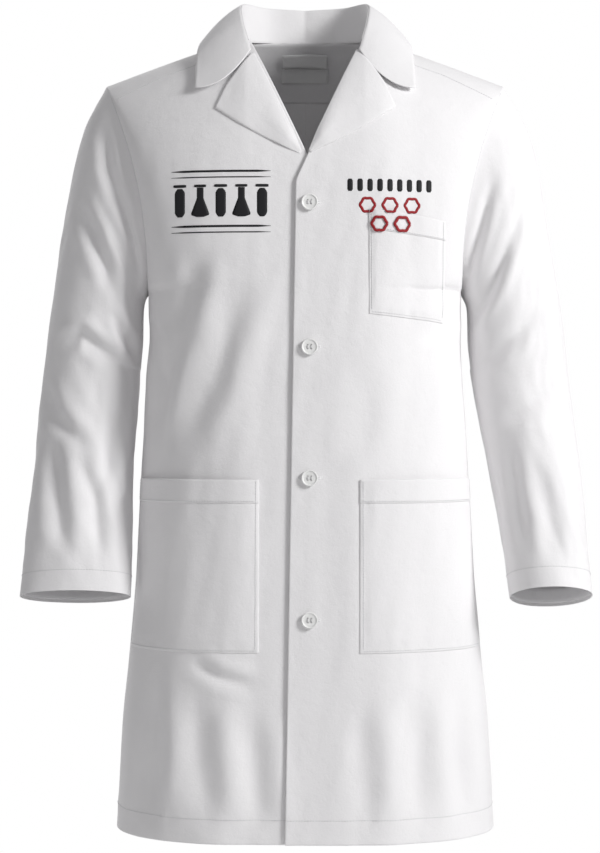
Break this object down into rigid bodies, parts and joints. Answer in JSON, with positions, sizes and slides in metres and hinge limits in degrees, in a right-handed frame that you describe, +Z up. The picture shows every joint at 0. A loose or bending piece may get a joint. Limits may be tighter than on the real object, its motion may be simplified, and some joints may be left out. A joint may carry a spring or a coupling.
{
  "type": "lab coat",
  "caption": "Long white buttoned laboratory coat with notched collar, long sleeves, chest and side patch pockets, worn over clothes to keep them clean.",
  "frame": {"origin": "midway between the neck ends of the two shoulder seams, where the hook of a hanger rises", "axes": "+Z up, front towards -Y, +X towards the wearer's left"},
  "size_m": [0.6812, 0.2692, 1.0039],
  "materials": {
    "cloth": "white cotton-polyester twill, matt, lightly pressed",
    "lining": "wrong side of the same white twill",
    "tape": "plain woven white tape",
    "button": "white polyester resin, polished, dished face",
    "thread": "white sewing thread, slight lustre",
    "embroidery": null
  },
  "bodies": {
    "coat": {"back_hem_left": "lining", "back_hem_right": "lining", "back_left": "cloth", "back_neck_facing": "lining", "back_right": "cloth", "buttonhole_1": "thread", "buttonhole_2": "thread", "buttonhole_3": "thread", "buttonhole_4": "thread", "chest_pocket": "cloth", "chest_pocket_band": "cloth", "collar_leaf": "cloth", "collar_stand": "cloth", "emblem_left": "embroidery", "emblem_right": "embroidery", "facing_left": "lining", "facing_right": "lining", "front_hem_left": "lining", "front_hem_right": "lining", "front_left": "cloth", "front_right": "cloth", "lapel_left": "cloth", "lapel_right": "cloth", "neck_label": "tape", "pocket_left": "cloth", "pocket_left_band": "cloth", "pocket_right": "cloth", "pocket_right_band": "cloth", "undercollar": "lining", "vent_underlay": "lining"},
    "sleeve_left": {"sleeve_left": "cloth"},
    "sleeve_right": {"sleeve_right": "cloth"},
    "forearm_left": {"forearm_left": "cloth", "cuff_hem_left": "lining"},
    "forearm_right": {"forearm_right": "cloth", "cuff_hem_right": "lining"},
    "front_corner_left": {"front_corner_left": "cloth", "facing_corner_left": "lining"},
    "front_corner_right": {"front_corner_right": "cloth", "facing_corner_right": "lining"},
    "hanger_loop": {"hanger_loop": "tape"},
    "button_1": {"button_1": "button", "button_thread_1": "thread"},
    "button_2": {"button_2": "button", "button_thread_2": "thread"},
    "button_3": {"button_3": "button", "button_thread_3": "thread"},
    "button_4": {"button_4": "button", "button_thread_4": "thread"}
  },
  "joints": [
    {"name": "shoulder_left_lift", "type": "hinge", "parent": "coat", "child": "sleeve_left", "pos_m": [0.2414, 0, -0.0588], "axis": [0, -1, 0], "range_deg": [0, 70]},
    {"name": "shoulder_right_lift", "type": "hinge", "parent": "coat", "child": "sleeve_right", "pos_m": [-0.2414, 0, -0.0588], "axis": [0, 1, 0], "range_deg": [0, 70]},
    {"name": "elbow_left_bend", "type": "hinge", "parent": "sleeve_left", "child": "forearm_left", "pos_m": [0.262, -0.057, -0.42], "axis": [-1, 0, 0], "range_deg": [0, 90]},
    {"name": "elbow_right_bend", "type": "hinge", "parent": "sleeve_right", "child": "forearm_right", "pos_m": [-0.261, -0.054, -0.42], "axis": [-1, 0, 0], "range_deg": [0, 90]},
    {"name": "front_corner_left_fold", "type": "hinge", "parent": "coat", "child": "front_corner_left", "pos_m": [0.0245, -0.14128, -0.8775], "axis": [-0.4988, 0.0278, 0.8663], "range_deg": [0, 70]},
    {"name": "front_corner_right_fold", "type": "hinge", "parent": "coat", "child": "front_corner_right", "pos_m": [-0.022, -0.13339, -0.8775], "axis": [0.5181, 0.0255, 0.8549], "range_deg": [0, 70]},
    {"name": "button_1_swivel", "type": "hinge", "parent": "coat", "child": "button_1", "pos_m": [0.005, -0.1291, -0.21288], "axis": [0, -0.9999, 0.0126], "range_deg": [-25, 25]},
    {"name": "button_2_swivel", "type": "hinge", "parent": "coat", "child": "button_2", "pos_m": [0.005, -0.1319, -0.38081], "axis": [0, -0.9998, 0.0196], "range_deg": [-25, 25]},
    {"name": "button_3_swivel", "type": "hinge", "parent": "coat", "child": "button_3", "pos_m": [0.005, -0.1351, -0.53278], "axis": [0, -0.9997, 0.0231], "range_deg": [-25, 25]},
    {"name": "button_4_swivel", "type": "hinge", "parent": "coat", "child": "button_4", "pos_m": [0.005, -0.1393, -0.69673], "axis": [0, -0.9996, 0.0284], "range_deg": [-25, 25]},
    {"name": "hanger_loop_lift", "type": "hinge", "parent": "coat", "child": "hanger_loop", "pos_m": [0, 0.06, -0.011], "axis": [-1, 0, 0], "range_deg": [0, 75]}
  ]
}
